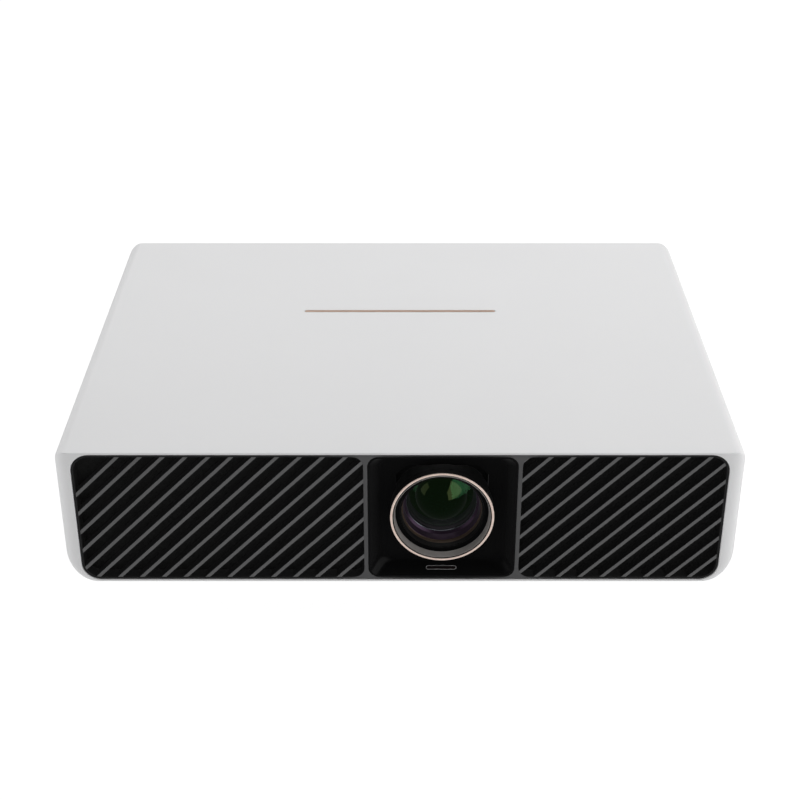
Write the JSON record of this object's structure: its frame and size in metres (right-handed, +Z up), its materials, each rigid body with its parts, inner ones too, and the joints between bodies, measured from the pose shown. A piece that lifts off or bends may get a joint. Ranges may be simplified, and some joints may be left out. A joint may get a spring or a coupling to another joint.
{
  "type": "home projector",
  "caption": "Low box-shaped home projector: white shell, louvred front, dished lens surround, focusing lens, fans, light engine, boards, rear sockets, keys and screw feet.",
  "frame": {"origin": "on the standing surface, under the middle of the body", "axes": "+X to the right seen from the front, +Y towards the rear, the front faces -Y, +Z up"},
  "size_m": [0.404, 0.3046, 0.0991],
  "materials": {
    "outer_shell": "satin white moulded skin",
    "bottom_cover": "matt dark grey",
    "front_frame": "satin grey metallic paint",
    "left_grille": "satin dark grey",
    "right_grille": "satin dark grey",
    "lens_surround": "gloss black",
    "infrared_window": "gloss dark red-black",
    "accent_bar": "polished rose-gold anodised",
    "lens_trim_ring": "polished rose-gold anodised",
    "lens_tube": "matt black anodised, bright chamfer",
    "lens_cell": "satin bronze anodised",
    "retaining_ring": "satin dark anodised",
    "front_lens": "coated glass",
    "middle_lens": "clear glass",
    "rear_lens": "clear glass",
    "focus_ring": "natural nylon",
    "focus_pinion": "natural nylon",
    "focus_motor": "plated steel can",
    "optical_engine": "die-cast",
    "engine_lid": "die-cast",
    "prism_block": "polished glass",
    "laser_module": "copper-coloured block",
    "laser_heat_sink": "extruded aluminium",
    "phosphor_wheel": "phosphor-coated disc",
    "wheel_motor": "plated steel can",
    "intake_fan_housing": "matt black",
    "intake_fan_rotor": "matt black",
    "exhaust_fan_housing": "matt black",
    "exhaust_fan_rotor": "matt black",
    "main_board": "green solder mask",
    "supply_board": "brown laminate",
    "transformer": "ferrite core with copper winding",
    "port_plate": "matt dark grey",
    "key_board": "green solder mask",
    "rear_panel": "matt black",
    "ac_inlet": "matt black",
    "hdmi_socket_1": "plated shell",
    "hdmi_socket_2": "plated shell",
    "usb_socket_1": "plated shell",
    "usb_socket_2": "plated shell",
    "lan_socket": "plated shell",
    "audio_socket": "black",
    "power_key": "satin dark grey",
    "ok_key": "satin dark grey",
    "up_key": "satin dark grey",
    "down_key": "satin dark grey",
    "left_key": "satin dark grey",
    "right_key": "satin dark grey",
    "left_speaker": "paper cone and steel frame",
    "right_speaker": "paper cone and steel frame",
    "cover_screw_1": "zinc plated",
    "cover_screw_2": "zinc plated",
    "cover_screw_3": "zinc plated",
    "cover_screw_4": "zinc plated",
    "left_foot_screw": "matt dark grey",
    "right_foot_screw": "matt dark grey",
    "left_foot_pad": "matt rubber",
    "right_foot_pad": "matt rubber",
    "left_rear_foot": "matt rubber",
    "right_rear_foot": "matt rubber"
  },
  "bodies": {
    "root": {"outer_shell": "outer_shell", "bottom_cover": "bottom_cover", "front_frame": "front_frame", "left_grille": "left_grille", "right_grille": "right_grille", "lens_surround": "lens_surround", "infrared_window": "infrared_window", "accent_bar": "accent_bar", "lens_trim_ring": "lens_trim_ring", "lens_tube": "lens_tube", "middle_lens": "middle_lens", "rear_lens": "rear_lens", "focus_motor": "focus_motor", "optical_engine": "optical_engine", "engine_lid": "engine_lid", "prism_block": "prism_block", "laser_module": "laser_module", "laser_heat_sink": "laser_heat_sink", "wheel_motor": "wheel_motor", "intake_fan_housing": "intake_fan_housing", "exhaust_fan_housing": "exhaust_fan_housing", "main_board": "main_board", "supply_board": "supply_board", "transformer": "transformer", "port_plate": "port_plate", "key_board": "key_board", "rear_panel": "rear_panel", "ac_inlet": "ac_inlet", "hdmi_socket_1": "hdmi_socket_1", "hdmi_socket_2": "hdmi_socket_2", "usb_socket_1": "usb_socket_1", "usb_socket_2": "usb_socket_2", "lan_socket": "lan_socket", "audio_socket": "audio_socket", "left_speaker": "left_speaker", "right_speaker": "right_speaker", "cover_screw_1": "cover_screw_1", "cover_screw_2": "cover_screw_2", "cover_screw_3": "cover_screw_3", "cover_screw_4": "cover_screw_4", "left_rear_foot": "left_rear_foot", "right_rear_foot": "right_rear_foot"},
    "focus_ring_body": {"focus_ring": "focus_ring"},
    "focus_pinion_body": {"focus_pinion": "focus_pinion"},
    "focus_cell_body": {"lens_cell": "lens_cell", "retaining_ring": "retaining_ring", "front_lens": "front_lens"},
    "intake_rotor_body": {"intake_fan_rotor": "intake_fan_rotor"},
    "exhaust_rotor_body": {"exhaust_fan_rotor": "exhaust_fan_rotor"},
    "phosphor_wheel_body": {"phosphor_wheel": "phosphor_wheel"},
    "power_key_body": {"power_key": "power_key"},
    "ok_key_body": {"ok_key": "ok_key"},
    "up_key_body": {"up_key": "up_key"},
    "down_key_body": {"down_key": "down_key"},
    "left_key_body": {"left_key": "left_key"},
    "right_key_body": {"right_key": "right_key"},
    "left_foot_pad_body": {"left_foot_pad": "left_foot_pad"},
    "left_foot_screw_body": {"left_foot_screw": "left_foot_screw"},
    "right_foot_pad_body": {"right_foot_pad": "right_foot_pad"},
    "right_foot_screw_body": {"right_foot_screw": "right_foot_screw"}
  },
  "joints": [
    {"name": "focus_turn", "type": "hinge", "parent": "root", "child": "focus_ring_body", "pos_m": [0.025, -0.1348, 0.0543], "axis": [0, 1, 0], "range_deg": [-45, 45]},
    {"name": "focus_pinion_turn", "type": "hinge", "parent": "root", "child": "focus_pinion_body", "pos_m": [-0.0173, -0.1348, 0.0543], "axis": [0, 1, 0], "range_deg": [-230, 230]},
    {"name": "focus_slide", "type": "slide", "parent": "root", "child": "focus_cell_body", "axis": [0, -1, 0], "range_m": [-0.0015, 0.0015]},
    {"name": "intake_fan_spin", "type": "hinge", "parent": "root", "child": "intake_rotor_body", "pos_m": [-0.10597, -0.1218, 0.0537], "axis": [0, 1, 0], "continuous": true},
    {"name": "exhaust_fan_spin", "type": "hinge", "parent": "root", "child": "exhaust_rotor_body", "pos_m": [0.13098, -0.1218, 0.0537], "axis": [0, 1, 0], "continuous": true},
    {"name": "phosphor_wheel_spin", "type": "hinge", "parent": "root", "child": "phosphor_wheel_body", "pos_m": [-0.058, -0.0594, 0.0543], "axis": [0, 1, 0], "continuous": true},
    {"name": "power_press", "type": "slide", "parent": "root", "child": "power_key_body", "axis": [0, -1, 0], "range_m": [0, 0.0008], "stiffness_N_per_m": 1200, "springref_m": -0.0005},
    {"name": "ok_press", "type": "slide", "parent": "root", "child": "ok_key_body", "axis": [0, -1, 0], "range_m": [0, 0.0008], "stiffness_N_per_m": 1200, "springref_m": -0.0005},
    {"name": "up_press", "type": "slide", "parent": "root", "child": "up_key_body", "axis": [0, -1, 0], "range_m": [0, 0.0008], "stiffness_N_per_m": 1200, "springref_m": -0.0005},
    {"name": "down_press", "type": "slide", "parent": "root", "child": "down_key_body", "axis": [0, -1, 0], "range_m": [0, 0.0008], "stiffness_N_per_m": 1200, "springref_m": -0.0005},
    {"name": "left_press", "type": "slide", "parent": "root", "child": "left_key_body", "axis": [0, -1, 0], "range_m": [0, 0.0008], "stiffness_N_per_m": 1200, "springref_m": -0.0005},
    {"name": "right_press", "type": "slide", "parent": "root", "child": "right_key_body", "axis": [0, -1, 0], "range_m": [0, 0.0008], "stiffness_N_per_m": 1200, "springref_m": -0.0005},
    {"name": "left_foot_slide", "type": "slide", "parent": "root", "child": "left_foot_pad_body", "axis": [0, 0, -1], "range_m": [0, 0.01]},
    {"name": "left_foot_turn", "type": "hinge", "parent": "left_foot_pad_body", "child": "left_foot_screw_body", "pos_m": [-0.152, -0.0983, 0.003], "axis": [0, 0, 1], "range_deg": [0, 1440]},
    {"name": "right_foot_slide", "type": "slide", "parent": "root", "child": "right_foot_pad_body", "axis": [0, 0, -1], "range_m": [0, 0.01]},
    {"name": "right_foot_turn", "type": "hinge", "parent": "right_foot_pad_body", "child": "right_foot_screw_body", "pos_m": [0.152, -0.0983, 0.003], "axis": [0, 0, 1], "range_deg": [0, 1440]}
  ],
  "couplings": [
    {"joint": "focus_pinion_turn", "follows": "focus_turn", "ratio": -5},
    {"joint": "focus_slide", "follows": "focus_turn", "m_per_rad": 0.0019},
    {"joint": "left_foot_turn", "follows": "left_foot_slide", "rad_per_m": 2513.3},
    {"joint": "right_foot_turn", "follows": "right_foot_slide", "rad_per_m": 2513.3}
  ]
}
